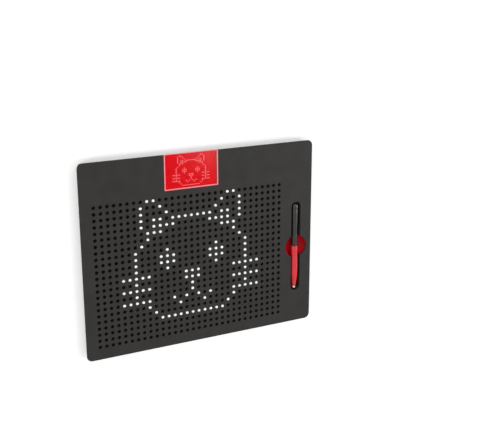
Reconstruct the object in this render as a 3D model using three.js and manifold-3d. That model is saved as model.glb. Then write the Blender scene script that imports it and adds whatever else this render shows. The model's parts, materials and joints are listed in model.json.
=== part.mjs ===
// A magnetic ball drawing board: a flat tablet whose face is a grid of round wells, each with one
// loose steel ball. A magnet-tipped stylus lifts a ball up to the face, where a soft sheet under the
// panel holds it, and a fingertip presses it back down. A picture card slides in at the top edge.
//
// Units are millimetres. The board lies on its back: +X runs to the right, +Y towards the edge with
// the picture card, +Z out of the face, and the origin is the middle of the underside.
import * as THREE from "three";
import { mergeVertices } from "three/addons/utils/BufferGeometryUtils.js";
import Module from "manifold-3d";

const wasm = await Module();
wasm.setup();

// ---------------------------------------------------------------- driving dimensions
const PITCH = 8; // from one ball to the next, both ways
const COLUMNS = 31;
const ROWS = 23;
const BALL_R = 2;
const TRAVEL = 4.4; // how far a ball moves between its two places
const PROUD = 1.3; // how far a raised ball stands out of the face

const BOARD_W = 304;
const BOARD_H = 247;
const CORNER_R = 7;
const FACE_Z = 12.7; // the face, above the underside
const MARGIN = 16.7; // from the left and lower edges to the first balls
const GAP = 0.3; // clearance between pieces that touch
const WALL = 2;
const BITE = 0.1; // how far two joined bodies reach into each other
const CLEAR = 1; // how far a cutter reaches beyond what it cuts

// Heights of the layers, from the underside up.
const SKIRT_Z = 0.6; // lower edge of the front panel's side walls
const LEAN_Z = 10.9; // below this the side walls lean in
const LEAN = 2.8; // how far they have leaned in at their lower edge
const SHELL_FLOOR = 1.7;
const TRAY_TOP = 3.1;
const PANEL_UNDERSIDE = FACE_Z - 2.2;
const SHEET_T = 0.6;
const SHEET_TOP = PANEL_UNDERSIDE - GAP;
const SHEET_BOTTOM = SHEET_TOP - SHEET_T;
const RAISED_Z = FACE_Z + PROUD - BALL_R; // centre of a raised ball
const LOWERED_Z = RAISED_Z - TRAVEL;
const LINK_T = 0.6; // the thin links that join the balls of one group
const LINK_W = 1.2;
const LINK_Z = SHEET_BOTTOM - GAP - LINK_T; // underside of the links between raised balls
const CARRIER_Z = LINK_Z - TRAVEL - GAP - LINK_T; // underside of the strip between lowered balls
const STRIP_T = 0.72; // gives a row's strip the mass of its lowered balls

const SLOT_W = 2 * BALL_R + 0.4;
const GRID_W = (COLUMNS - 1) * PITCH;
const GRID_H = (ROWS - 1) * PITCH;
const GRID_X = -BOARD_W / 2 + MARGIN; // first column
const GRID_Y = -BOARD_H / 2 + MARGIN; // last row
const GRID_EDGE = 3.2; // sheet and tray beyond the outer balls

// The stylus, lying along Y with its magnet towards -Y.
const STYLUS_X = 129.5;
const STYLUS_Z = 8.6;
const STYLUS_TOP = 40.8;
const STYLUS_SPLIT = -17.6; // where the black half meets the red half
const STYLUS_TIP = -77.2;
const MAGNET_HEAD = 3; // length of magnet showing at the tip
const MAGNET_R = 2.15;
const MAGNET_LENGTH = 13;
const SEAM = 0.15; // half the gap between the two barrels
const BORE_R = 2.6;
const SPIGOT_HALF = 12; // the spigot's reach into each barrel
const TOP_R = 4.3; // the black half's thickest part
const WAIST_R = 3.8; // the black half at the seam
const GRIP_R = 5; // the red half's thickest part
const REST_TOP = 7.6; // top of the two rests in the well
const REST_R = 5.4; // the round bed cut into each rest
const REST_HALF = 1; // half a rest's thickness
const RESTS = [STYLUS_TOP - 12, STYLUS_TIP + 27];

const WELL_HALF_W = 6.6;
const WELL_END = 2.4; // beyond each end of the stylus
const FINGER_R = 15.2;
const CRADLE_WALL = 1.5;
const CRADLE_FLOOR = 3.3;

// The picture card's bay, open at the top edge.
const BAY_X = -13.9;
const BAY_W = 70;
const BAY_DEPTH = 44.7; // from the top edge
const BAY_LAND = 1.8; // ledge that carries the window, each side
const LAND_Z = 10.6;
const CARD_FLOOR_Z = 9.7;
const BAY_FLOOR_T = 1.2;
const CARD_T = 0.6;

const BOSS_R = 3;
const CUP_R = 3.6;
const SEAT_R = 3;
const CUP_TOP = 3.8;
const HEAD_R = 2.5;
const HEAD_Z = 0.6;
const HEAD_T = 1.4;
const SHANK_R = 1.2;
const SHANK_TOP = 9.4;
const RECESS_HALF_W = 0.35; // half the width of the screw's cross recess
const RECESS_REACH = 1.5;
const RECESS_DEPTH = 0.8;

const SCREWS = [
  ["top_left", -142.5, 114],
  ["top_mid_left", -80, 114],
  ["top_mid_right", 60, 114],
  ["top_right", 142.5, 114],
  ["left", -142.5, 0],
  ["right", 142.5, 24],
  ["bottom_left", -142.5, -114],
  ["bottom_mid_left", -50, -114],
  ["bottom_mid_right", 50, -114],
  ["bottom_right", 142.5, -114],
];

// The picture that the raised balls draw: its left half and middle column, one letter to a group of
// balls. The right half mirrors it. E ear, B brow, C cheek and whiskers, I eye, N nose, M mouth,
// H chin; a dot is a lowered ball.
const PICTURE = [
  "........EE......",
  ".......E..E.....",
  ".......E...E....",
  ".......E.EE.BBBB",
  ".......E.EEEE...",
  "........EEE.....",
  "........C.......",
  ".......C........",
  "......C....I....",
  "......C...III...",
  "......C...III...",
  "......C....I....",
  "....CCCCC.....NN",
  "......C.......NN",
  "....CCCCC......N",
  "......C........M",
  "....CCCCC...M.M.",
  "........C....M..",
  ".........C......",
  "..........HHHHHH",
];
const PAIRED = { E: "ear", C: "cheek", I: "eye" };
const SINGLE = { B: "brow", N: "nose", M: "mouth", H: "chin" };

// ---------------------------------------------------------------- materials
const colour = (hex, roughness, metalness = 0, extra = {}) =>
  new THREE.MeshStandardMaterial({ color: hex, roughness, metalness, ...extra });
const black = colour(0x383735, 0.55);
const red = colour(0xb80f1e, 0.4);
const sheetBlack = colour(0x141414, 0.9);
const cardRed = colour(0xd91a2c, 0.5);
const clear = colour(0xf4f4f8, 0.1, 0, { transparent: true, opacity: 0.3 });
const stylusBlack = colour(0x2c2b2a, 0.35);
const stylusRed = colour(0xdc3a42, 0.3);
const nickel = colour(0xd8d6d2, 0.2, 1);
const steel = colour(0xe0e0e0, 0.15, 1);
const zinc = colour(0x8e8f92, 0.4, 1);

// ---------------------------------------------------------------- solids
function solid(geometry) {
  const bare = geometry.clone();
  bare.deleteAttribute("normal");
  bare.deleteAttribute("uv");
  const merged = mergeVertices(bare, 1e-4);
  return new wasm.Manifold(
    new wasm.Mesh({
      numProp: 3,
      vertProperties: merged.attributes.position.array,
      triVerts: new Uint32Array(merged.index.array),
    }),
  );
}

const joined = (...solids) => solids.reduce((a, b) => a.add(b));
const cut = (body, ...tools) => tools.reduce((a, b) => a.subtract(b), body);

function geometryOf(manifold) {
  const { vertProperties, triVerts } = manifold.asOriginal().simplify(1e-3).getMesh();
  const geometry = new THREE.BufferGeometry();
  geometry.setAttribute("position", new THREE.BufferAttribute(vertProperties, 3));
  geometry.setIndex(new THREE.BufferAttribute(triVerts, 1));
  geometry.computeVertexNormals();
  return geometry;
}

// A flat outline raised from height z0 to z1.
function plate(shape, z0, z1, curveSegments = 6) {
  const geometry = new THREE.ExtrudeGeometry(shape, { depth: z1 - z0, bevelEnabled: false, curveSegments });
  return solid(geometry.translate(0, 0, z0));
}

function roundedRect(w, h, r, x = 0, y = 0) {
  const shape = new THREE.Shape();
  const right = x + w / 2 - r;
  const left = x - w / 2 + r;
  const top = y + h / 2 - r;
  const bottom = y - h / 2 + r;
  shape.absarc(right, bottom, r, -Math.PI / 2, 0);
  shape.absarc(right, top, r, 0, Math.PI / 2);
  shape.absarc(left, top, r, Math.PI / 2, Math.PI);
  shape.absarc(left, bottom, r, Math.PI, 1.5 * Math.PI);
  shape.closePath();
  return shape;
}

// A block with round corners whose side walls lean in towards its lower end, by `lean` all round.
function leaningPlate(w, h, r, z0, z1, lean) {
  const outline = roundedRect(w, h, r);
  const depth = z1 - z0;
  const geometry = new THREE.ExtrudeGeometry(outline, { depth, bevelEnabled: false, curveSegments: 6 });
  const place = geometry.attributes.position;
  for (let i = 0; i < place.count; i++) {
    if (place.getZ(i) > 0) continue;
    place.setX(i, place.getX(i) * (1 - (2 * lean) / w));
    place.setY(i, place.getY(i) * (1 - (2 * lean) / h));
  }
  return solid(geometry.translate(0, 0, z0));
}

function box(x0, x1, y0, y1, z0, z1) {
  const geometry = new THREE.BoxGeometry(x1 - x0, y1 - y0, z1 - z0);
  return solid(geometry.translate((x0 + x1) / 2, (y0 + y1) / 2, (z0 + z1) / 2));
}

function upright(x, y, r, z0, z1, sides = 16) {
  const geometry = new THREE.CylinderGeometry(r, r, z1 - z0, sides).rotateX(Math.PI / 2);
  return solid(geometry.translate(x, y, (z0 + z1) / 2));
}

// A body turned about the Y axis from [radius, y] points.
function turned(points, sides = 20) {
  return new THREE.LatheGeometry(
    points.map(([r, y]) => new THREE.Vector2(r, y)),
    sides,
  );
}

// ---------------------------------------------------------------- the ball grid
const columnX = (column) => GRID_X + column * PITCH;
const rowY = (row) => GRID_Y + (ROWS - 1 - row) * PITCH;
const twoDigits = (n) => String(n).padStart(2, "0");

function letterAt(column, row) {
  const folded = Math.min(column, COLUMNS - 1 - column);
  return (PICTURE[row] ?? "")[folded] ?? ".";
}
const isRaised = (column, row) => letterAt(column, row) !== ".";

function groupNameAt(column, row) {
  const letter = letterAt(column, row);
  if (letter in SINGLE) return SINGLE[letter];
  const side = column < COLUMNS / 2 - 1 ? "left" : "right";
  return `${side}_${PAIRED[letter]}`;
}

// A low-poly ball with a corner at its very top and bottom.
const CORNER_UP = Math.atan2(2, 1 + Math.sqrt(5));
const ball = (x, y, z) => solid(new THREE.IcosahedronGeometry(BALL_R).rotateX(CORNER_UP).translate(x, y, z));

// Raised balls of one part of the picture, joined by thin links under the sheet.
function raisedGroup(cells) {
  const has = (c, r) => cells.some(([column, row]) => column === c && row === r);
  const pieces = [];
  for (const [c, r] of cells) {
    const x = columnX(c);
    const y = rowY(r);
    pieces.push(ball(x, y, RAISED_Z));
    const half = LINK_W / 2;
    pieces.push(box(x - half, x + half, y - half, y + half, LINK_Z, RAISED_Z));
    for (const [dc, dr] of [[1, 0], [0, 1], [1, 1], [-1, 1]]) {
      const cornerTurned = dc && dr && (has(c + dc, r) || has(c, r + dr));
      if (!has(c + dc, r + dr) || cornerTurned) continue;
      const length = PITCH * Math.hypot(dc, dr);
      const link = new THREE.BoxGeometry(length, LINK_W, LINK_T).rotateZ(Math.atan2(-dr, dc));
      link.translate(x + (dc * PITCH) / 2, y - (dr * PITCH) / 2, LINK_Z + LINK_T / 2);
      pieces.push(solid(link));
    }
  }
  return geometryOf(wasm.Manifold.union(pieces));
}

// The lowered balls of one row: a thin strip that is as tall as a ball wherever there is one.
function loweredRow(row) {
  const low = CARRIER_Z + LINK_T;
  const high = LOWERED_Z + BALL_R;
  const outline = [];
  for (let column = 0; column < COLUMNS; column++) {
    if (isRaised(column, row)) continue;
    if (column === 0 || isRaised(column - 1, row)) {
      outline.push([columnX(column) - BALL_R, low], [columnX(column) - BALL_R, high]);
    }
    if (column === COLUMNS - 1 || isRaised(column + 1, row)) {
      outline.push([columnX(column) + BALL_R, high], [columnX(column) + BALL_R, low]);
    }
  }
  outline[0][1] = CARRIER_Z;
  outline[outline.length - 1][1] = CARRIER_Z;
  const shape = new THREE.Shape(outline.map(([x, z]) => new THREE.Vector2(x, z)));
  const geometry = new THREE.ExtrudeGeometry(shape, { depth: STRIP_T, bevelEnabled: false });
  return geometry.rotateX(Math.PI / 2).translate(0, rowY(row) + STRIP_T / 2, 0);
}

// One slot to a row, for the row's thirty-one wells.
function rowSlots(z0, z1) {
  const half = SLOT_W / 2;
  const slots = [];
  for (let row = 0; row < ROWS; row++) {
    const y = rowY(row);
    slots.push(box(GRID_X - half, GRID_X + GRID_W + half, y - half, y + half, z0, z1));
  }
  return slots;
}

// A block under the whole grid.
function gridBlock(z0, z1) {
  const right = GRID_X + GRID_W + GRID_EDGE;
  const top = GRID_Y + GRID_H + GRID_EDGE;
  return box(GRID_X - GRID_EDGE, right, GRID_Y - GRID_EDGE, top, z0, z1);
}

// ---------------------------------------------------------------- stylus well
const WELL_TOP = STYLUS_TOP + WELL_END;
const WELL_BOTTOM = STYLUS_TIP - WELL_END;

// The well's outline, grown by `grow`, as a straight groove with a round finger recess.
function wellCutter(grow, z0, z1) {
  const w = 2 * (WELL_HALF_W + grow);
  const h = WELL_TOP - WELL_BOTTOM + 2 * grow;
  const endR = w / 2 - 0.01; // a hair under half, so that the outline keeps its short sides
  const groove = plate(roundedRect(w, h, endR, STYLUS_X, (WELL_TOP + WELL_BOTTOM) / 2), z0, z1, 5);
  return joined(groove, upright(STYLUS_X, STYLUS_SPLIT, FINGER_R + grow, z0, z1, 32));
}

// ---------------------------------------------------------------- board pieces
function frontPanel() {
  const top = BOARD_H / 2;
  const left = BAY_X - BAY_W / 2;
  const right = BAY_X + BAY_W / 2;
  const bayBottom = top - BAY_DEPTH;
  const outside = joined(
    plate(roundedRect(BOARD_W, BOARD_H, CORNER_R), LEAN_Z, FACE_Z),
    leaningPlate(BOARD_W, BOARD_H, CORNER_R, SKIRT_Z, LEAN_Z, LEAN),
  );
  const insideW = BOARD_W - 2 * WALL;
  const insideH = BOARD_H - 2 * WALL;
  const inside = leaningPlate(insideW, insideH, CORNER_R - WALL, 0, PANEL_UNDERSIDE, LEAN);
  const shell = cut(outside, inside);
  const bayUnder = CARD_FLOOR_Z - BAY_FLOOR_T;
  const bayOver = PANEL_UNDERSIDE + BITE;
  const bayBlock = box(left - WALL, right + WALL, bayBottom - WALL, top - WALL / 2, bayUnder, bayOver);
  const bosses = SCREWS.map(([, x, y]) => upright(x, y, BOSS_R, CUP_TOP + GAP, PANEL_UNDERSIDE + BITE, 10));
  const pilots = SCREWS.map(([, x, y]) => upright(x, y, SHANK_R + GAP, 0, SHANK_TOP + GAP, 8));
  return geometryOf(
    cut(
      joined(shell, bayBlock, ...bosses),
      ...pilots,
      box(left, right, bayBottom, top + CLEAR, LAND_Z, FACE_Z + CLEAR),
      box(left + BAY_LAND, right - BAY_LAND, bayBottom + GAP, top + CLEAR, CARD_FLOOR_Z, LAND_Z + BITE),
      wellCutter(0, 0, FACE_Z + CLEAR),
      ...rowSlots(PANEL_UNDERSIDE - CLEAR, FACE_Z + CLEAR),
    ),
  );
}

function backShell() {
  const inset = WALL + LEAN + GAP;
  const outline = roundedRect(BOARD_W - 2 * inset, BOARD_H - 2 * inset, CORNER_R - WALL);
  const floor = plate(outline, 0, SHELL_FLOOR);
  const cups = SCREWS.map(([, x, y]) => upright(x, y, CUP_R, BITE, CUP_TOP, 12));
  const seats = SCREWS.map(([, x, y]) => upright(x, y, SEAT_R, -CLEAR, HEAD_Z + HEAD_T + GAP, 12));
  const holes = SCREWS.map(([, x, y]) => upright(x, y, SHANK_R + GAP, -CLEAR, CUP_TOP + CLEAR, 8));
  return geometryOf(cut(joined(floor, ...cups), ...seats, ...holes));
}

function stylusCradle() {
  const low = SHELL_FLOOR + GAP;
  const body = cut(wellCutter(CRADLE_WALL, low, SHEET_TOP), wellCutter(0, CRADLE_FLOOR, FACE_Z));
  const reach = WELL_HALF_W + BITE;
  const bed = solid(new THREE.CylinderGeometry(REST_R, REST_R, BOARD_H, 24).translate(STYLUS_X, 0, STYLUS_Z));
  const rests = RESTS.map((y) => {
    const low = CRADLE_FLOOR - BITE;
    return cut(box(STYLUS_X - reach, STYLUS_X + reach, y - REST_HALF, y + REST_HALF, low, REST_TOP), bed);
  });
  return geometryOf(joined(body, ...rests));
}

function screw() {
  const headTop = HEAD_Z + HEAD_T;
  const profile = [
    [0, HEAD_Z],
    [HEAD_R, HEAD_Z],
    [HEAD_R, headTop],
    [SHANK_R, headTop],
    [SHANK_R, SHANK_TOP - 1],
    [0, SHANK_TOP],
  ];
  const blank = turned(profile, 10).rotateX(Math.PI / 2);
  const wide = RECESS_REACH;
  const slim = RECESS_HALF_W;
  const low = HEAD_Z - CLEAR;
  const high = HEAD_Z + RECESS_DEPTH;
  const arm = box(-wide, wide, -slim, slim, low, high);
  const across = box(-slim, slim, -wide, wide, low, high);
  return geometryOf(cut(solid(blank), arm, across));
}

// ---------------------------------------------------------------- stylus pieces
const upperBarrel = () =>
  turned([
    [BORE_R, STYLUS_SPLIT + SEAM],
    [WAIST_R, STYLUS_SPLIT + SEAM],
    [TOP_R, STYLUS_TOP - 12],
    [TOP_R, STYLUS_TOP - 3],
    [0.9 * TOP_R, STYLUS_TOP - 1.1],
    [0.6 * TOP_R, STYLUS_TOP],
    [0, STYLUS_TOP],
    [0, STYLUS_TOP - 6],
    [BORE_R, STYLUS_TOP - 8],
    [BORE_R, STYLUS_SPLIT + SEAM],
  ]);

const lowerBarrel = () =>
  turned([
    [BORE_R - 0.1, STYLUS_TIP + MAGNET_HEAD],
    [BORE_R + GAP, STYLUS_TIP + MAGNET_HEAD],
    [0.78 * GRIP_R, STYLUS_TIP + 10],
    [0.96 * GRIP_R, STYLUS_TIP + 20],
    [GRIP_R, STYLUS_TIP + 28],
    [0.92 * GRIP_R, STYLUS_SPLIT - SEAM],
    [BORE_R, STYLUS_SPLIT - SEAM],
    [BORE_R, STYLUS_TIP + 16],
    [BORE_R - 0.1, STYLUS_TIP + MAGNET_HEAD],
  ]);

function spigot() {
  const r = BORE_R - GAP;
  const low = STYLUS_SPLIT - SPIGOT_HALF;
  const high = STYLUS_SPLIT + SPIGOT_HALF;
  return turned([[0, low], [r, low], [r, high], [0, high]], 12);
}

const tipMagnet = () =>
  turned(
    [
      [0, STYLUS_TIP],
      [0.7 * MAGNET_R, STYLUS_TIP + 0.3],
      [MAGNET_R, STYLUS_TIP + 1.2],
      [MAGNET_R, STYLUS_TIP + MAGNET_LENGTH],
      [0, STYLUS_TIP + MAGNET_LENGTH],
    ],
    16,
  );

// ---------------------------------------------------------------- assembly
const board = new THREE.Group();
function add(parent, name, geometry, material) {
  const mesh = new THREE.Mesh(geometry, material);
  mesh.name = name;
  parent.add(mesh);
  return mesh;
}

add(board, "front_panel", frontPanel(), black);
add(board, "back_shell", backShell(), red);
add(board, "ball_tray", geometryOf(gridBlock(SHELL_FLOOR + GAP, TRAY_TOP)), red);
const sheet = cut(gridBlock(SHEET_BOTTOM, SHEET_TOP), ...rowSlots(0, FACE_Z));
add(board, "retaining_sheet", geometryOf(sheet), sheetBlack);
add(board, "stylus_cradle", stylusCradle(), red);

for (const [place, x, y] of SCREWS) add(board, `screw_${place}`, screw(), zinc).position.set(x, y, 0);

const bayTop = BOARD_H / 2 - 0.1; // the window and the card end just short of the board's edge
const paneHalf = BAY_W / 2 - GAP;
const paneLow = BOARD_H / 2 - BAY_DEPTH + GAP;
const pane = box(BAY_X - paneHalf, BAY_X + paneHalf, paneLow, bayTop, LAND_Z + GAP, FACE_Z);
add(board, "card_window", geometryOf(pane), clear);
const cardHalf = BAY_W / 2 - BAY_LAND - GAP;
const cardZ = CARD_FLOOR_Z + GAP;
const card = box(BAY_X - cardHalf, BAY_X + cardHalf, paneLow + GAP, bayTop, cardZ, cardZ + CARD_T);
add(board, "template_card", geometryOf(card), cardRed);

const stylus = new THREE.Group();
stylus.position.set(STYLUS_X, 0, STYLUS_Z);
add(stylus, "stylus_upper_barrel", upperBarrel(), stylusBlack);
add(stylus, "stylus_lower_barrel", lowerBarrel(), stylusRed);
add(stylus, "stylus_spigot", spigot(), stylusBlack);
add(stylus, "stylus_magnet", tipMagnet(), nickel);
board.add(stylus);

const groups = new Map();
for (let row = 0; row < ROWS; row++) {
  for (let column = 0; column < COLUMNS; column++) {
    if (!isRaised(column, row)) continue;
    const name = groupNameAt(column, row);
    groups.set(name, [...(groups.get(name) ?? []), [column, row]]);
  }
}
for (const [name, cells] of groups) add(board, `balls_${name}`, raisedGroup(cells), steel);
for (let row = 0; row < ROWS; row++) add(board, `balls_row_${twoDigits(row + 1)}`, loweredRow(row), steel);

export default board;
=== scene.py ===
"""The looks of a magnetic ball drawing board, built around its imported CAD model.

The board lies on its back: +X runs to the right along the long side, +Y towards the edge with the
picture card, +Z out of the face. Everything is in metres.
"""

import json
import math

import bmesh
import bpy
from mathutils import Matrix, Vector


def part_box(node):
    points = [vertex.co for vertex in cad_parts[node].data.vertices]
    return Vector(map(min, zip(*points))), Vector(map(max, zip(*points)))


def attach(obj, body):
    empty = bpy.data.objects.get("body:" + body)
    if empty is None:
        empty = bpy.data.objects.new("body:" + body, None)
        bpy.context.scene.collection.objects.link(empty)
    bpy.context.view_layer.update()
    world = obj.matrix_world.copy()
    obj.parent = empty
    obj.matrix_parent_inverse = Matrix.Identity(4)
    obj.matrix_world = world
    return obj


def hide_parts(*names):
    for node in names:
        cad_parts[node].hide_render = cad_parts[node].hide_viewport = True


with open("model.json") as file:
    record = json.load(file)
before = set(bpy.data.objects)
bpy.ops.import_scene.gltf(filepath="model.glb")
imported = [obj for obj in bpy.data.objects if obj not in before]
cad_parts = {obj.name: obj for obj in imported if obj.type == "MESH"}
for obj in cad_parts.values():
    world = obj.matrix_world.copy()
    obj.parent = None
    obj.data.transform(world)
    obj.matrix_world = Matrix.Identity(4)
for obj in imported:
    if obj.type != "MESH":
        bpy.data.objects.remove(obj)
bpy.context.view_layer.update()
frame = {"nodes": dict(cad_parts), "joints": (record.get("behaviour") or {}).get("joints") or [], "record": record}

MM = 0.001

# ---------------------------------------------------------------- sizes, from the frame
PANEL_LO, PANEL_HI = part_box("front_panel")
TRAY_LO, TRAY_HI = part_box("ball_tray")
SHEET_LO, SHEET_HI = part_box("retaining_sheet")
SHELL_LO, SHELL_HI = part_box("back_shell")
CRADLE_LO, CRADLE_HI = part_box("stylus_cradle")
PANE_LO, PANE_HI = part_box("card_window")
CARD_LO, CARD_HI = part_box("template_card")
UPPER_LO, UPPER_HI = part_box("stylus_upper_barrel")
LOWER_LO, LOWER_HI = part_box("stylus_lower_barrel")
MAGNET_LO, MAGNET_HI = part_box("stylus_magnet")

COLUMNS = 31
ROWS = 23
GRID_EDGE = 3.2 * MM  # the tray and the sheet beyond the outer balls
BALL_R = 2 * MM
FACE_Z = PANEL_HI.z
GRID_X = TRAY_LO.x + GRID_EDGE
GRID_TOP_Y = TRAY_HI.y - GRID_EDGE
PITCH = (TRAY_HI.x - TRAY_LO.x - 2 * GRID_EDGE) / (COLUMNS - 1)
PROUD = 1.3 * MM  # how far a raised ball stands out of the face
RAISED_Z = FACE_Z + PROUD - BALL_R
PRESS_TRAVEL = next(-j["range_m"][0] for j in frame["joints"] if j["name"] == "press_brow")
LOWERED_Z = RAISED_Z - PRESS_TRAVEL

CORNER_R = 7 * MM
EDGE_R = 1.3 * MM
WALL = 2 * MM
LEAN = 2.8 * MM  # how far the side walls have leaned in at their lower edge
LEAN_Z = 10.9 * MM  # where they start to
UNDERSIDE_Z = FACE_Z - 2.2 * MM
HOLE_R = 2.2 * MM
HOLE_LIP = 0.25 * MM

STYLUS_X = (LOWER_LO.x + LOWER_HI.x) / 2
STYLUS_Z = (LOWER_LO.z + LOWER_HI.z) / 2
STYLUS_TOP = UPPER_HI.y
STYLUS_SPLIT = (UPPER_LO.y + LOWER_HI.y) / 2
STYLUS_TIP = MAGNET_LO.y
WELL_HALF_W = 6.6 * MM
WELL_END = 2.4 * MM
FINGER_R = 15.2 * MM
WELL_LIP = 0.6 * MM
LINER_T = 0.6 * MM  # the panel's black lining of the well's groove
LINER_LOW = 4.6 * MM


# ---------------------------------------------------------------- outlines, as rings of (x, y)
def arc(x, y, radius, start, end, steps):
    """Points along an arc, from angle start to angle end in degrees, both ends included."""
    turns = [math.radians(start + (end - start) * i / steps) for i in range(steps + 1)]
    return [(x + radius * math.cos(a), y + radius * math.sin(a)) for a in turns]


def circle(x, y, radius, sides):
    return arc(x, y, radius, 0, 360, sides)[:-1]


def rounded_rect(lo, hi, radius, inset=0.0, steps=8):
    r = max(radius - inset, 0.05 * MM)
    x0, x1 = lo.x + inset + r, hi.x - inset - r
    y0, y1 = lo.y + inset + r, hi.y - inset - r
    return (
        arc(x1, y0, r, -90, 0, steps)
        + arc(x1, y1, r, 0, 90, steps)
        + arc(x0, y1, r, 90, 180, steps)
        + arc(x0, y0, r, 180, 270, steps)
    )


def keyhole(grow=0.0):
    """The stylus well's outline: a groove with round ends, crossed by a round finger recess."""
    half = WELL_HALF_W + grow
    radius = FINGER_R + grow
    open_angle = math.degrees(math.acos(half / radius))
    top = STYLUS_TOP + WELL_END - WELL_HALF_W
    bottom = STYLUS_TIP - WELL_END + WELL_HALF_W
    return (
        arc(STYLUS_X, STYLUS_SPLIT, radius, -open_angle, open_angle, 28)
        + arc(STYLUS_X, top, half, 0, 180, 24)
        + arc(STYLUS_X, STYLUS_SPLIT, radius, 180 - open_angle, 180 + open_angle, 28)
        + arc(STYLUS_X, bottom, half, 180, 360, 24)
    )


def groove(grow=0.0):
    """The well's straight groove alone."""
    half = WELL_HALF_W + grow
    top = STYLUS_TOP + WELL_END - WELL_HALF_W
    bottom = STYLUS_TIP - WELL_END + WELL_HALF_W
    return arc(STYLUS_X, top, half, 0, 180, 24) + arc(STYLUS_X, bottom, half, 180, 360, 24)


def flare(z, radius, steps=4):
    """(grow, z) pairs of a rounded lip that opens upwards and ends level at height z."""
    turns = [math.pi / 2 * i / steps for i in range(steps + 1)]
    return [(radius * (1 - math.cos(a)), z - radius * (1 - math.sin(a))) for a in turns]


# ---------------------------------------------------------------- solids
def at_height(ring, z):
    return [(x, y, z) for x, y in ring]


class Mould:
    """A mesh in the making: closed bodies are added to it one by one."""

    def __init__(self):
        self.points = []
        self.faces = []

    def loft(self, rings):
        """A closed body through a stack of rings of (x, y, z), lowest ring first."""
        start, count = len(self.points), len(rings[0])
        for ring in rings:
            self.points.extend(ring)
        for level in range(len(rings) - 1):
            low = start + level * count
            for i in range(count):
                j = (i + 1) % count
                self.faces.append((low + i, low + j, low + count + j, low + count + i))
        self.faces.append(tuple(range(start + count - 1, start - 1, -1)))
        last = start + (len(rings) - 1) * count
        self.faces.append(tuple(range(last, last + count)))
        return self

    def column(self, x, y, profile, sides):
        """An upright turned body from (radius, z) pairs, lowest first."""
        return self.loft([at_height(circle(x, y, r, sides), z) for r, z in profile])

    def block(self, lo, hi):
        square = [(lo[0], lo[1]), (hi[0], lo[1]), (hi[0], hi[1]), (lo[0], hi[1])]
        return self.loft([at_height(square, lo[2]), at_height(square, hi[2])])

    def thing(self, name):
        """The finished mesh as an object, its faces pointing out."""
        mesh = bpy.data.meshes.new(name)
        mesh.from_pydata([Vector(p) for p in self.points], [], self.faces)
        shape = bmesh.new()
        shape.from_mesh(mesh)
        bmesh.ops.recalc_face_normals(shape, faces=shape.faces)
        shape.to_mesh(mesh)
        shape.free()
        thing = bpy.data.objects.new(name, mesh)
        bpy.context.scene.collection.objects.link(thing)
        return thing


def discard(thing):
    mesh = thing.data
    bpy.data.objects.remove(thing)
    bpy.data.meshes.remove(mesh)


def apply_modifiers(thing):
    ready = thing.evaluated_get(bpy.context.evaluated_depsgraph_get())
    made = bpy.data.meshes.new_from_object(ready)
    thing.modifiers.clear()
    thing.data = made


def combine(thing, tool, operation):
    """Cuts, joins or keeps what thing and the mould `tool` share, and uses the tool up."""
    other = tool.thing("tool")
    step = thing.modifiers.new(operation, "BOOLEAN")
    step.operation = operation
    step.solver = "MANIFOLD"
    step.object = other
    apply_modifiers(thing)
    discard(other)


def cut(thing, tool):
    combine(thing, tool, "DIFFERENCE")


def join(thing, tool):
    combine(thing, tool, "UNION")


def keep_shared(thing, tool):
    combine(thing, tool, "INTERSECT")


def finish_piece(thing, body, slot, material, *nodes, sharp=40):
    """Smooth shading with crisp edges, the material, and the body that the piece rides on."""
    mesh = thing.data
    mesh.polygons.foreach_set("use_smooth", [True] * len(mesh.polygons))
    mesh.set_sharp_from_angle(angle=math.radians(sharp))
    weighted = thing.modifiers.new("even_normals", "WEIGHTED_NORMAL")
    weighted.keep_sharp = True
    mesh.materials.clear()
    mesh.materials.append(material)
    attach(thing, body)
    if nodes:
        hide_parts(*nodes)
    return thing


# ---------------------------------------------------------------- materials
def linear(*levels):
    """A colour given in 0 to 255 screen levels, as the linear RGBA that a shader takes."""
    shares = [level / 255 for level in levels]
    return tuple(s / 12.92 if s <= 0.04045 else ((s + 0.055) / 1.055) ** 2.4 for s in shares) + (1.0,)


def spread(nodes, links, factor, low, high):
    """Stretches the middle of a noise factor onto the range from low to high."""
    mapping = nodes.new("ShaderNodeMapRange")
    for socket, value in (("From Min", 0.3), ("From Max", 0.7), ("To Min", low), ("To Max", high)):
        mapping.inputs[socket].default_value = value
    links.new(factor, mapping.inputs["Value"])
    return mapping.outputs["Result"]


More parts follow.
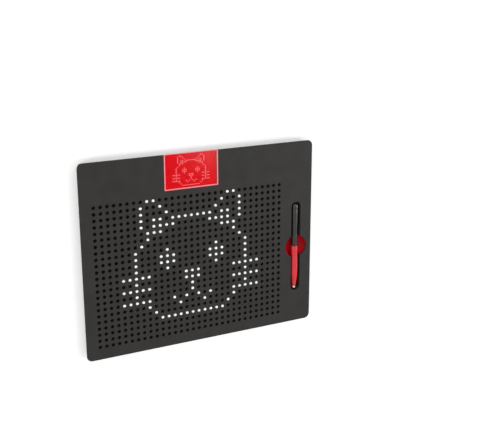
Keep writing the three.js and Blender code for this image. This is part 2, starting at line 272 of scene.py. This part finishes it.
class Finish:
    """A material on one Principled shader, with helpers for its procedural detail."""

    def __init__(self, name, colour, roughness, metallic=0.0, specular=0.5):
        self.material = bpy.data.materials.new(name)
        self.material.use_nodes = True
        tree = self.material.node_tree
        self.nodes, self.links = tree.nodes, tree.links
        self.shader = self.nodes["Principled BSDF"]
        self.shader.inputs["Base Color"].default_value = colour
        self.shader.inputs["Roughness"].default_value = roughness
        self.shader.inputs["Metallic"].default_value = metallic
        self.shader.inputs["Specular IOR Level"].default_value = specular
        self.place = self.nodes.new("ShaderNodeTexCoord").outputs["Object"]
        self.height = None

    def noise(self, scale, detail, roughness=0.5):
        texture = self.nodes.new("ShaderNodeTexNoise")
        texture.inputs["Scale"].default_value = scale
        texture.inputs["Detail"].default_value = detail
        texture.inputs["Roughness"].default_value = roughness
        self.links.new(self.place, texture.inputs["Vector"])
        return texture.outputs["Fac"]

    def mottle(self, scale, colour_a, colour_b):
        """The base colour drifts between two colours."""
        ramp = self.nodes.new("ShaderNodeValToRGB")
        ramp.color_ramp.elements[0].position = 0.35
        ramp.color_ramp.elements[0].color = colour_a
        ramp.color_ramp.elements[1].position = 0.65
        ramp.color_ramp.elements[1].color = colour_b
        self.links.new(self.noise(scale, 3.0), ramp.inputs["Fac"])
        self.links.new(ramp.outputs["Color"], self.shader.inputs["Base Color"])
        return self

    def worn(self, scale, low, high):
        """The roughness drifts between low and high, as handled plastic's does."""
        factor = spread(self.nodes, self.links, self.noise(scale, 4.0, 0.6), low, high)
        self.links.new(factor, self.shader.inputs["Roughness"])
        return self

    def grain(self, scale, depth, strength=0.5):
        """A fine raised texture; calls add up, each on top of the one before."""
        bump = self.nodes.new("ShaderNodeBump")
        bump.inputs["Strength"].default_value = strength
        bump.inputs["Distance"].default_value = depth
        self.links.new(self.noise(scale, 2.0), bump.inputs["Height"])
        if self.height is not None:
            self.links.new(self.height, bump.inputs["Normal"])
        self.height = bump.outputs["Normal"]
        self.links.new(self.height, self.shader.inputs["Normal"])
        return self


def clear_plastic():
    """Clear polished plastic: seen through, with its gloss on top."""
    material = bpy.data.materials.new("clear_window_plastic")
    material.use_nodes = True
    nodes, links = material.node_tree.nodes, material.node_tree.links
    nodes.remove(nodes["Principled BSDF"])
    clear = nodes.new("ShaderNodeBsdfTransparent")
    clear.inputs["Color"].default_value = (0.99, 0.965, 0.965, 1.0)
    gloss = nodes.new("ShaderNodeBsdfGlossy")
    gloss.inputs["Color"].default_value = (1.0, 1.0, 1.0, 1.0)
    marks = nodes.new("ShaderNodeTexNoise")
    marks.inputs["Scale"].default_value = 60.0
    place = nodes.new("ShaderNodeTexCoord")
    links.new(place.outputs["Object"], marks.inputs["Vector"])
    links.new(spread(nodes, links, marks.outputs["Fac"], 0.12, 0.16), gloss.inputs["Roughness"])
    fresnel = nodes.new("ShaderNodeFresnel")
    fresnel.inputs["IOR"].default_value = 1.2
    faces = nodes.new("ShaderNodeNewGeometry")
    outer = nodes.new("ShaderNodeMath")  # no gloss on a face seen from within
    outer.operation = "SUBTRACT"
    outer.use_clamp = True
    links.new(fresnel.outputs["Fac"], outer.inputs[0])
    links.new(faces.outputs["Backfacing"], outer.inputs[1])
    mix = nodes.new("ShaderNodeMixShader")
    links.new(outer.outputs["Value"], mix.inputs["Fac"])
    links.new(clear.outputs["BSDF"], mix.inputs[1])
    links.new(gloss.outputs["BSDF"], mix.inputs[2])
    links.new(mix.outputs["Shader"], nodes["Material Output"].inputs["Surface"])
    return material


def make_finishes():
    front = Finish("front_black_plastic", linear(45, 44, 42), 0.55, specular=0.18)
    front.mottle(60, linear(43, 42, 40), linear(47, 46, 44)).worn(35, 0.5, 0.62)
    front.grain(2600, 0.03 * MM).grain(700, 0.04 * MM, 0.3)

    shell = Finish("back_shell_red_plastic", linear(176, 12, 26), 0.4, specular=0.45)
    shell.mottle(45, linear(172, 11, 24), linear(182, 14, 28)).worn(30, 0.34, 0.48)
    shell.grain(2200, 0.03 * MM, 0.4)

    cradle = Finish("cradle_red_plastic", linear(168, 4, 18), 0.5, specular=0.15)
    cradle.mottle(80, linear(162, 3, 16), linear(174, 5, 20)).worn(60, 0.45, 0.58)
    cradle.grain(2400, 0.02 * MM, 0.35)

    cups = Finish("tray_red_plastic", linear(150, 10, 20), 0.5, specular=0.4)
    cups.mottle(70, linear(144, 9, 19), linear(156, 12, 22)).grain(1500, 0.02 * MM)

    # painted shade: the sheet is a real part, and its near-black also stands for the shade deep in the wells
    sheet = Finish("membrane_black_rubber_painted_well_shade", linear(16, 13, 13), 0.85, specular=0.15)
    sheet.mottle(300, linear(14, 11, 11), linear(19, 15, 15)).grain(1800, 0.03 * MM)

    # painted light: metallic below 1 mixes in a near-white diffuse share, so the balls stay white even where
    # polished steel would mirror darker surroundings
    steel = Finish("polished_steel_painted_white_sheen", linear(252, 252, 252), 0.3, metallic=0.7)
    steel.worn(900, 0.25, 0.36).mottle(500, linear(249, 249, 250), linear(255, 255, 254))

    # painted highlight: the edges' light pink is partly the frosted edge's own tone and partly light caught on the
    # window's edges
    rim = Finish("frosted_window_edge_painted_highlight", linear(246, 126, 132), 0.35, specular=0.5)
    rim.mottle(400, linear(240, 116, 122), linear(250, 138, 144)).worn(300, 0.3, 0.42)

    card = Finish("red_coated_card", linear(212, 1, 16), 0.6, specular=0.02)
    card.mottle(120, linear(208, 0, 14), linear(217, 2, 19)).worn(90, 0.54, 0.66)
    card.grain(3000, 0.01 * MM, 0.3)

    ink = Finish("pale_card_print", linear(255, 150, 156), 0.6, specular=0.1)
    ink.mottle(900, linear(255, 142, 148), linear(255, 160, 165))

    top = Finish("stylus_black_plastic", linear(28, 26, 26), 0.18, specular=0.7)
    top.mottle(90, linear(26, 24, 24), linear(31, 28, 28)).worn(80, 0.14, 0.23)

    grip = Finish("stylus_red_plastic", linear(202, 16, 30), 0.16, specular=0.8)
    grip.mottle(90, linear(198, 14, 28), linear(207, 19, 33)).worn(80, 0.12, 0.21)

    nickel = Finish("nickel_plate", linear(244, 241, 236), 0.28, metallic=0.8)
    nickel.worn(400, 0.22, 0.34).grain(3000, 0.01 * MM, 0.3)

    zinc = Finish("zinc_plate", linear(168, 170, 174), 0.35, metallic=1.0)
    zinc.mottle(700, linear(156, 158, 163), linear(180, 182, 184)).worn(500, 0.26, 0.44)

    floor = Finish("pale_floor", linear(228, 228, 227), 0.9, specular=0.1)
    floor.mottle(3, linear(227, 227, 226), linear(229, 229, 228))
    floor.shader.inputs["Emission Color"].default_value = (1.0, 1.0, 1.0, 1.0)
    floor.shader.inputs["Emission Strength"].default_value = 0.3
    finishes = {
        "front": front, "shell": shell, "cradle": cradle, "cups": cups, "sheet": sheet, "steel": steel,
        "rim": rim, "card": card, "ink": ink, "top": top, "grip": grip, "nickel": nickel, "zinc": zinc,
        "floor": floor,
    }
    made = {name: finish.material for name, finish in finishes.items()}
    made["pane"] = clear_plastic()
    return made


FINISH = make_finishes()


# ---------------------------------------------------------------- the ball grid
def well_centre(column, row):
    return GRID_X + column * PITCH, GRID_TOP_Y - row * PITCH


WELLS = [(column, row) for row in range(ROWS) for column in range(COLUMNS)]


def raised_wells(node):
    """The wells in which a CAD node of raised balls has a ball."""
    tops = [v.co for v in frame["nodes"][node].data.vertices if v.co.z > RAISED_Z + 0.5 * MM]
    found = set()
    for point in tops:
        column = round((point.x - GRID_X) / PITCH)
        row = round((GRID_TOP_Y - point.y) / PITCH)
        found.add((column, row))
    return sorted(found)


RAISED_NODES = sorted(n for n in frame["nodes"] if n.startswith("balls_") and "_row_" not in n)
ROW_NODES = sorted(n for n in frame["nodes"] if n.startswith("balls_row_"))
RAISED = {node: raised_wells(node) for node in RAISED_NODES}
ALL_RAISED = {well for wells in RAISED.values() for well in wells}


def body_with(node):
    return next(body for body, nodes in frame["record"]["behaviour"]["bodies"].items() if node in nodes)


# ---------------------------------------------------------------- front panel
def tablet(inset=0.0):
    """The board's outer form: a flat block with round corners and a rounded upper edge."""
    steps = 6
    turns = [math.pi / 2 * i / steps for i in range(steps + 1)]
    low_edge = 0.35 * MM
    draft = 0.08 * MM
    profile = [(LEAN + low_edge, PANEL_LO.z), (LEAN, PANEL_LO.z + low_edge), (draft, LEAN_Z)]
    profile += [(EDGE_R * (1 - math.cos(a)), FACE_Z - EDGE_R * (1 - math.sin(a))) for a in turns]
    return [at_height(rounded_rect(PANEL_LO, PANEL_HI, CORNER_R, inset + step), z) for step, z in profile]


def make_front_panel():
    panel = Mould().loft(tablet()).thing("front_panel_moulding")
    cut(panel, Mould().loft([
        at_height(rounded_rect(PANEL_LO, PANEL_HI, CORNER_R, WALL + LEAN), 0.0),
        at_height(rounded_rect(PANEL_LO, PANEL_HI, CORNER_R, WALL), UNDERSIDE_Z),
    ]))

    over = FACE_Z + 1 * MM
    beyond = PANEL_HI.y + 1 * MM
    pane_gap = 0.15 * MM
    card_gap = 0.3 * MM
    bay_floor_t = 1.2 * MM
    bite = 0.1 * MM  # how far joined or cut bodies overlap
    bay_lo = (PANE_LO.x - pane_gap, PANE_LO.y - pane_gap)
    bay_hi_x = PANE_HI.x + pane_gap
    bay_floor = CARD_LO.z - card_gap
    land = PANE_LO.z - 0.05 * MM
    join(panel, Mould().block(
        (bay_lo[0] - WALL, bay_lo[1] - WALL, bay_floor - bay_floor_t),
        (bay_hi_x + WALL, PANEL_HI.y - WALL / 2, UNDERSIDE_Z + bite),
    ))
    cut(panel, Mould().block((*bay_lo, land), (bay_hi_x, beyond, over)))
    cut(panel, Mould().block(
        (CARD_LO.x - card_gap, CARD_LO.y - card_gap, bay_floor),
        (CARD_HI.x + card_gap, beyond, land + bite),
    ))

    under = LINER_LOW - MM
    join(panel, Mould().loft([at_height(groove(LINER_T), z) for z in (LINER_LOW, UNDERSIDE_Z + bite)]))
    cut(panel, Mould().column(STYLUS_X, STYLUS_SPLIT, [(FINGER_R, under), (FINGER_R, UNDERSIDE_Z)], 72))
    well = [(0.0, under)] + flare(FACE_Z, WELL_LIP) + [(WELL_LIP, over)]
    cut(panel, Mould().loft([at_height(keyhole(grow), z) for grow, z in well]))

    holes = Mould()
    hole = [(HOLE_R, UNDERSIDE_Z - MM)]
    hole += [(HOLE_R + grow, z) for grow, z in flare(FACE_Z, HOLE_LIP, 3)]
    hole += [(HOLE_R + HOLE_LIP, over)]
    for well in WELLS:
        holes.column(*well_centre(*well), hole, 24)
    cut(panel, holes)
    return finish_piece(panel, "board", "front_black", FINISH["front"], "front_panel")


# ---------------------------------------------------------------- behind the panel
LAYER_CORNER_R = 2 * MM  # of the sheet and the tray


def make_membrane():
    """The soft sheet: a bowl under each well, with a cross cut through its bottom. It is a real part, and its
    near-black is also painted shade that keeps the wells dark over the lowered balls.
    """
    lowest = LOWERED_Z + BALL_R + 0.1 * MM
    edge = 0.3 * MM
    outline = rounded_rect(SHEET_LO, SHEET_HI, LAYER_CORNER_R)
    sheet = Mould().loft([
        at_height(outline, lowest),
        at_height(outline, SHEET_HI.z - edge / 2),
        at_height(rounded_rect(SHEET_LO, SHEET_HI, LAYER_CORNER_R, edge), SHEET_HI.z),
    ]).thing("retaining_membrane")

    bowl_r = BALL_R + 0.08 * MM
    rim_turn = math.acos((RAISED_Z - SHEET_HI.z) / bowl_r)
    turns = [rim_turn * share for share in (0.1, 0.4, 0.7, 1.0)]
    bowl = [(bowl_r * math.sin(turn), RAISED_Z - bowl_r * math.cos(turn)) for turn in turns]
    bowl.append((bowl[-1][0], SHEET_HI.z + MM))
    half, reach = 0.03 * MM, 1.2 * MM  # half a slit's width, and its length from the middle
    plus = [(half, half), (half, reach), (-half, reach), (-half, half)]
    plus += [(-reach, half), (-reach, -half), (-half, -half), (-half, -reach)]
    plus += [(half, -reach), (half, -half), (reach, -half), (reach, half)]
    diagonal = [((dx - dy) * math.sqrt(0.5), (dx + dy) * math.sqrt(0.5)) for dx, dy in plus]
    slit_top = SHEET_HI.z - 0.05 * MM
    bowls, crosses = Mould(), Mould()
    for well in WELLS:
        x, y = well_centre(*well)
        bowls.column(x, y, bowl, 16)
        cross = [(x + dx, y + dy) for dx, dy in diagonal]
        crosses.loft([at_height(cross, lowest - MM), at_height(cross, slit_top)])
    cut(sheet, bowls)
    cut(sheet, crosses)
    return finish_piece(sheet, "board", "sheet_black", FINISH["sheet"], "retaining_sheet")


def make_ball_cups():
    """The tray: a round cup for each lowered ball."""
    top = LOWERED_Z + BALL_R - 0.2 * MM
    edge = 0.4 * MM
    outline = rounded_rect(TRAY_LO, TRAY_HI, LAYER_CORNER_R)
    tray = Mould().loft([
        at_height(outline, TRAY_LO.z),
        at_height(outline, top - edge),
        at_height(rounded_rect(TRAY_LO, TRAY_HI, LAYER_CORNER_R, edge), top),
    ]).thing("ball_cup_tray")
    floor = LOWERED_Z - BALL_R
    lip = 0.3 * MM
    cup = [(0.6 * MM, floor - 0.05 * MM), (1.5 * MM, floor + 0.5 * MM), (HOLE_R, floor + 1.4 * MM)]
    cup += [(HOLE_R, top - lip), (HOLE_R + lip, top), (HOLE_R + lip, top + MM)]
    cups = Mould()
    for well in WELLS:
        cups.column(*well_centre(*well), cup, 14)
    cut(tray, cups)
    return finish_piece(tray, "board", "tray_red", FINISH["cups"], "ball_tray")


def make_balls(name, node, wells, z, subdivisions):
    """One group's balls, as separate spheres in one piece."""
    shape = bmesh.new()
    for well in wells:
        made = bmesh.ops.create_icosphere(shape, subdivisions=subdivisions, radius=BALL_R)
        bmesh.ops.translate(shape, verts=made["verts"], vec=Vector((*well_centre(*well), z)))
    mesh = bpy.data.meshes.new(name)
    shape.to_mesh(mesh)
    shape.free()
    balls = bpy.data.objects.new(name, mesh)
    bpy.context.scene.collection.objects.link(balls)
    return finish_piece(balls, body_with(node), "steel_ball", FINISH["steel"], node, sharp=80)


def make_all_balls():
    for node, wells in RAISED.items():
        make_balls(node.replace("balls_", "raised_balls_"), node, wells, RAISED_Z, 4)
    for row, node in enumerate(ROW_NODES):
        wells = [(column, row) for column in range(COLUMNS) if (column, row) not in ALL_RAISED]
        make_balls(node.replace("balls_", "lowered_balls_"), node, wells, LOWERED_Z, 3)


# ---------------------------------------------------------------- back
SCREW_NODES = sorted(n for n in frame["nodes"] if n.startswith("screw_"))


def make_back_shell():
    """The back cover: a flat plate with a shallow recessed field and ten screw seats."""
    lo, hi = SHELL_LO, SHELL_HI
    edge = 0.5 * MM
    plate_top = 1.7 * MM
    corner_r = CORNER_R - WALL
    outline = rounded_rect(lo, hi, corner_r)
    shell = Mould().loft([
        at_height(rounded_rect(lo, hi, corner_r, edge), lo.z),
        at_height(rounded_rect(lo, hi, corner_r, edge * 0.3), lo.z + edge * 0.3),
        at_height(outline, lo.z + edge),
        at_height(outline, plate_top),
    ]).thing("back_shell_moulding")

    cup_r, cup_top = 3.6 * MM, 3.8 * MM
    seat_r, seat_top = 3 * MM, 2.2 * MM
    shank_hole_r = 1.5 * MM
    cup = [(cup_r, plate_top - 0.5 * MM), (cup_r, cup_top)]
    seat = [(seat_r + 0.4 * MM, -0.5 * MM), (seat_r + 0.4 * MM, 0.0), (seat_r + 0.2 * MM, 0.14 * MM)]
    seat += [(seat_r, 0.3 * MM), (seat_r, seat_top)]
    hole = [(shank_hole_r, 1 * MM), (shank_hole_r, 5 * MM)]
    cups, seats, holes = Mould(), Mould(), Mould()
    for node in SCREW_NODES:
        screw_lo, screw_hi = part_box(node)
        place = (screw_lo + screw_hi) / 2
        cups.column(place.x, place.y, cup, 32)
        seats.column(place.x, place.y, seat, 32)
        holes.column(place.x, place.y, hole, 24)
    join(shell, cups)
    cut(shell, seats)
    cut(shell, holes)

    field_depth, field_r = 0.4 * MM, 8 * MM
    margin = Vector((16 * MM, 16 * MM, 0))
    field = rounded_rect(lo + margin, hi - margin, field_r)
    cut(shell, Mould().loft([
        at_height(field, -MM),
        at_height(field, 0.0),
        at_height(rounded_rect(lo + margin, hi - margin, field_r, field_depth), field_depth),
    ]))
    return finish_piece(shell, "board", "shell_red", FINISH["shell"], "back_shell")


def make_screws():
    """Pan-head screws with a cross recess, heads down."""
    head_r, head_h = 2.5 * MM, 1.4 * MM
    shank_r, thread_root_r = 1.2 * MM, 0.96 * MM
    threads = 9
    recess_long, recess_wide, recess_taper = 1.3 * MM, 0.28 * MM, 0.6
    for node in SCREW_NODES:
        lo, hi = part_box(node)
        place = (lo + hi) / 2
        low = lo.z
        profile = [(0.9 * MM, low), (1.7 * MM, low + 0.12 * MM), (2.2 * MM, low + 0.4 * MM)]
        profile += [(head_r, low + 0.9 * MM), (head_r, low + head_h), (shank_r, low + head_h)]
        thread_low, thread_high = low + head_h + 0.4 * MM, hi.z - 1 * MM
        pitch = (thread_high - thread_low) / threads
        for turn in range(threads):
            z = thread_low + turn * pitch
            profile += [(thread_root_r, z), (shank_r, z + pitch * 0.5)]
        profile += [(thread_root_r, thread_high), (0.1 * MM, hi.z)]
        screw = Mould().column(place.x, place.y, profile, 28).thing(f"case_{node}")
        for x, y in ((recess_long, recess_wide), (recess_wide, recess_long)):
            corners = [(-x, -y), (x, -y), (x, y), (-x, y)]
            mouth = [(place.x + dx, place.y + dy) for dx, dy in corners]
            deep = [(place.x + dx * recess_taper, place.y + dy * recess_taper) for dx, dy in corners]
            cut(screw, Mould().loft([
                at_height(mouth, low - MM), at_height(mouth, low), at_height(deep, low + MM),
            ]))
        finish_piece(screw, "board", "screw_steel", FINISH["zinc"], node, sharp=30)


# ---------------------------------------------------------------- stylus well
def make_cradle():
    """The red trough under the stylus, with a finger bowl and two rests."""
    low, high = CRADLE_LO.z, CRADLE_HI.z
    over = high + MM
    wall = 1.5 * MM
    floor = 3.3 * MM
    gap = 0.15 * MM
    outline = keyhole(wall)
    cradle = Mould().loft([at_height(outline, low), at_height(outline, high)]).thing("stylus_trough")

    room = LINER_T + gap
    ledge = LINER_LOW - gap
    trough = [(-3.2 * MM, floor), (-1.6 * MM, floor + 0.2 * MM), (-0.6 * MM, floor + 0.6 * MM)]
    trough += [(0.0, ledge - 0.05 * MM), (room, ledge), (room, over)]
    cut(cradle, Mould().loft([at_height(groove(grow), z) for grow, z in trough]))

    flat_r = 7 * MM
    steps = 14
    turns = [math.pi / 2 * i / steps for i in range(steps + 1)]
    bowl = [
        (flat_r + (FINGER_R - flat_r) * math.sin(a), floor + (high - floor) * (1 - math.cos(a)))
        for a in turns
    ]
    cut(cradle, Mould().column(STYLUS_X, STYLUS_SPLIT, bowl + [(FINGER_R, over)], 96))

    bed_r = 5.4 * MM
    reach = 5.6 * MM
    foot, top = floor - 0.1 * MM, STYLUS_Z - 2.6 * MM
    bed = [(x, z) for x, z in arc(STYLUS_X, STYLUS_Z, bed_r, 180, 360, 16) if z <= top]
    section = [(STYLUS_X - reach, foot), (STYLUS_X - reach, top)] + bed
    section += [(STYLUS_X + reach, top), (STYLUS_X + reach, foot)]
    for y in (STYLUS_TOP - 12 * MM, STYLUS_TIP + 27 * MM):
        join(cradle, Mould().loft([[(x, y + dy, z) for x, z in section] for dy in (-MM, MM)]))
    return finish_piece(cradle, "board", "cradle_red", FINISH["cradle"], "stylus_cradle")


# ---------------------------------------------------------------- stylus
SEAM_HALF = 0.1 * MM  # half the joint line between the barrels
POLE_R = 0.05 * MM  # the small flat that closes a domed end


def turned_along_y(name, profile, sides=64):
    """A turned body lying along Y, from (radius, y) pairs, lowest y first."""
    rings = []
    for radius, y in profile:
        rings.append([(STYLUS_X + x, y, STYLUS_Z + z) for x, z in circle(0, 0, radius, sides)])
    return Mould().loft(rings).thing(name)


def rounded_end(radius, y, length, steps):
    """(radius, y) pairs of a domed end that closes at y."""
    turns = [math.pi / 2 * i / steps for i in range(steps)]
    dome = [(radius * math.cos(a), y - length + length * math.sin(a)) for a in turns]
    return dome + [(POLE_R, y)]


def make_stylus_upper_half():
    """The black half: a slim barrel with a fine ring groove near its domed end."""
    top_r, waist_r = (UPPER_HI.z - UPPER_LO.z) / 2, 3.8 * MM
    seam = STYLUS_SPLIT + SEAM_HALF
    ring = STYLUS_TOP - 9 * MM
    ring_r = top_r - 0.15 * MM
    profile = [(waist_r - 0.2 * MM, seam), (waist_r, seam + 0.2 * MM)]
    profile += [(waist_r + 0.05 * MM, seam + 12 * MM), (waist_r + 0.22 * MM, seam + 26 * MM)]
    profile += [(top_r - 0.05 * MM, ring - 6 * MM), (top_r, ring)]
    profile += [(ring_r, ring + 0.15 * MM), (ring_r, ring + 0.45 * MM), (top_r, ring + 0.6 * MM)]
    profile += rounded_end(top_r, STYLUS_TOP, 3.2 * MM, 10)
    upper = turned_along_y("stylus_black_half", profile)
    finish_piece(upper, "stylus", "stylus_black", FINISH["top"], "stylus_upper_barrel", sharp=50)


def make_stylus_lower_half():
    """The red half: a fuller grip that narrows to the nose."""
    widest = (LOWER_HI.z - LOWER_LO.z) / 2
    nose = LOWER_LO.y
    seam = STYLUS_SPLIT - SEAM_HALF
    profile = [(2.5 * MM, nose), (2.75 * MM, nose + 0.15 * MM), (3.1 * MM, nose + 2 * MM)]
    profile += [(3.9 * MM, nose + 7 * MM), (4.45 * MM, nose + 12 * MM), (4.8 * MM, nose + 17.5 * MM)]
    profile += [(widest - 0.03 * MM, nose + 22 * MM), (widest, nose + 26 * MM)]
    profile += [(widest - 0.08 * MM, nose + 34 * MM), (4.62 * MM, seam - 6 * MM)]
    profile += [(4.6 * MM, seam - 0.3 * MM), (4.4 * MM, seam)]
    lower = turned_along_y("stylus_red_half", profile)
    finish_piece(lower, "stylus", "stylus_red", FINISH["grip"], "stylus_lower_barrel", sharp=50)


def make_stylus_tip():
    """The magnet: a short nickel-plated rod with a rounded edge."""
    magnet_r = (MAGNET_HI.z - MAGNET_LO.z) / 2
    edge = 0.45 * MM
    shoulder = STYLUS_TIP + 0.04 * MM
    steps = 6
    turns = [math.pi / 2 * i / steps for i in range(steps + 1)]
    profile = [(POLE_R, STYLUS_TIP)]
    profile += [
        (magnet_r - edge * (1 - math.sin(a)), shoulder + edge * (1 - math.cos(a))) for a in turns
    ]
    profile += [(magnet_r, MAGNET_HI.y)]
    magnet = turned_along_y("stylus_tip_magnet", profile, 40)
    finish_piece(magnet, "stylus", "magnet_nickel", FINISH["nickel"], "stylus_magnet", sharp=50)


def make_stylus():
    make_stylus_upper_half()
    make_stylus_lower_half()
    make_stylus_tip()
    spigot = frame["nodes"]["stylus_spigot"]
    spigot.data.materials.clear()
    spigot.data.materials.append(FINISH["top"])


# ---------------------------------------------------------------- picture card and its window
SIDE_RIM_W = 1.4 * MM
INNER_RIM_W = 1.4 * MM
FRONT_RIM_W = 0.4 * MM  # along the edge that the card slides out under
WINDOW_INSET = 0.05 * MM  # inside the board's outer form


def make_window():
    """The clear window and its frosted edges, trimmed to the board's outer form; the edges' light pink is partly a
    painted highlight.
    """
    lo, hi = PANE_LO, PANE_HI
    bevel = 0.2 * MM
    inner_lo = Vector((lo.x + SIDE_RIM_W, lo.y + INNER_RIM_W, lo.z))
    inner_hi = Vector((hi.x - SIDE_RIM_W, hi.y - FRONT_RIM_W, hi.z))
    clear = rounded_rect(inner_lo, inner_hi, 0.4 * MM)
    pane = Mould().loft([
        at_height(clear, lo.z), at_height(clear, hi.z - bevel / 2),
    ]).thing("window_pane")
    keep_shared(pane, Mould().loft(tablet(WINDOW_INSET)))
    finish_piece(pane, "board", "clear_window", FINISH["pane"], "card_window")

    corner_r = 0.8 * MM
    outline = rounded_rect(lo, hi, corner_r)
    rim = Mould().loft([
        at_height(outline, lo.z),
        at_height(outline, hi.z - bevel),
        at_height(rounded_rect(lo, hi, corner_r, bevel), hi.z),
    ]).thing("window_rim")
    gap = 0.02 * MM
    cut(rim, Mould().block(
        (inner_lo.x - gap, inner_lo.y - gap, lo.z - MM),
        (inner_hi.x + gap, inner_hi.y + gap, hi.z + MM),
    ))
    keep_shared(rim, Mould().loft(tablet(WINDOW_INSET)))
    finish_piece(rim, "board", "clear_window", FINISH["rim"])


def make_card():
    """The picture card; its print repeats the raised balls as small dots."""
    lo, hi = CARD_LO, CARD_HI
    edge = 0.08 * MM
    corner_r = 1.2 * MM
    outline = rounded_rect(lo, hi, corner_r)
    inner = rounded_rect(lo, hi, corner_r, edge)
    card = Mould().loft([
        at_height(inner, lo.z),
        at_height(outline, lo.z + edge),
        at_height(outline, hi.z - edge),
        at_height(inner, hi.z),
    ]).thing("picture_card")
    finish_piece(card, "template_card", "card_red", FINISH["card"], "template_card")

    step_x, step_y = 2.1 * MM, 1.93 * MM
    dot_r, ink_t = 0.58 * MM, 0.02 * MM
    dot = [(dot_r, hi.z - ink_t), (dot_r, hi.z + ink_t)]
    middle = (lo + hi) / 2
    rows = [row for _, row in ALL_RAISED]
    middle_row = (min(rows) + max(rows)) / 2
    dots = Mould()
    for column, row in sorted(ALL_RAISED):
        x = middle.x + (column - (COLUMNS - 1) / 2) * step_x
        y = middle.y - (row - middle_row) * step_y
        dots.column(x, y, dot, 12)
    finish_piece(dots.thing("picture_card_print"), "template_card", "card_red", FINISH["ink"])


# ---------------------------------------------------------------- stage
FLOOR_HALF = 4.0
CAMERA_AT = (-0.3273, 0.3388, 0.8617)
CAMERA_TURN = (-13.908, -24.003, -0.193)  # degrees about X, Y and Z
CAMERA_LENS = 58.12  # millimetres on a 36 mm wide frame
CAMERA_SHIFT_Y = -0.1177  # the frame is the lower part of a wider one


def soft_light(name, at, aim, size, power):
    lamp = bpy.data.lights.new(name, "AREA")
    lamp.shape = "RECTANGLE"
    lamp.size, lamp.size_y = size
    lamp.energy = power
    light = bpy.data.objects.new(name, lamp)
    light.location = at
    light.rotation_euler = (Vector(aim) - Vector(at)).to_track_quat("-Z", "Y").to_euler()
    bpy.context.scene.collection.objects.link(light)


def make_stage():
    floor = Mould().block((-FLOOR_HALF, -FLOOR_HALF, -0.02), (FLOOR_HALF, FLOOR_HALF, 0.0)).thing("floor")
    floor.data.materials.append(FINISH["floor"])

    world = bpy.data.worlds.new("studio")
    world.use_nodes = True
    sky = world.node_tree.nodes["Background"]
    sky.inputs["Color"].default_value = (1.0, 1.0, 1.0, 1.0)
    sky.inputs["Strength"].default_value = 0.7
    bpy.context.scene.world = world

    soft_light("left_softbox", (-1.4, -0.2, 0.62), (0, 0, 0), (0.4, 1.6), 9)
    soft_light("right_softbox", (1.4, -0.2, 0.7), (0, 0, 0), (0.4, 1.6), 9)
    soft_light("back_softbox", (0.0, 1.3, 0.9), (0, 0, 0), (1.6, 0.5), 6)
    soft_light("window_glow", (0.42, -0.05, 0.92), (0, 0.1, 0), (0.2, 0.17), 0.66)

    lens = bpy.data.cameras.new("camera")
    lens.lens = CAMERA_LENS
    lens.sensor_width = 36
    lens.shift_y = CAMERA_SHIFT_Y
    lens.clip_start = 0.01
    camera = bpy.data.objects.new("camera", lens)
    camera.location = CAMERA_AT
    camera.rotation_euler = [math.radians(turn) for turn in CAMERA_TURN]
    bpy.context.scene.collection.objects.link(camera)
    bpy.context.scene.camera = camera
    bpy.context.scene.view_settings.view_transform = "Standard"


make_front_panel()
make_membrane()
make_ball_cups()
make_all_balls()
make_back_shell()
make_screws()
make_cradle()
make_stylus()
make_window()
make_card()
make_stage()
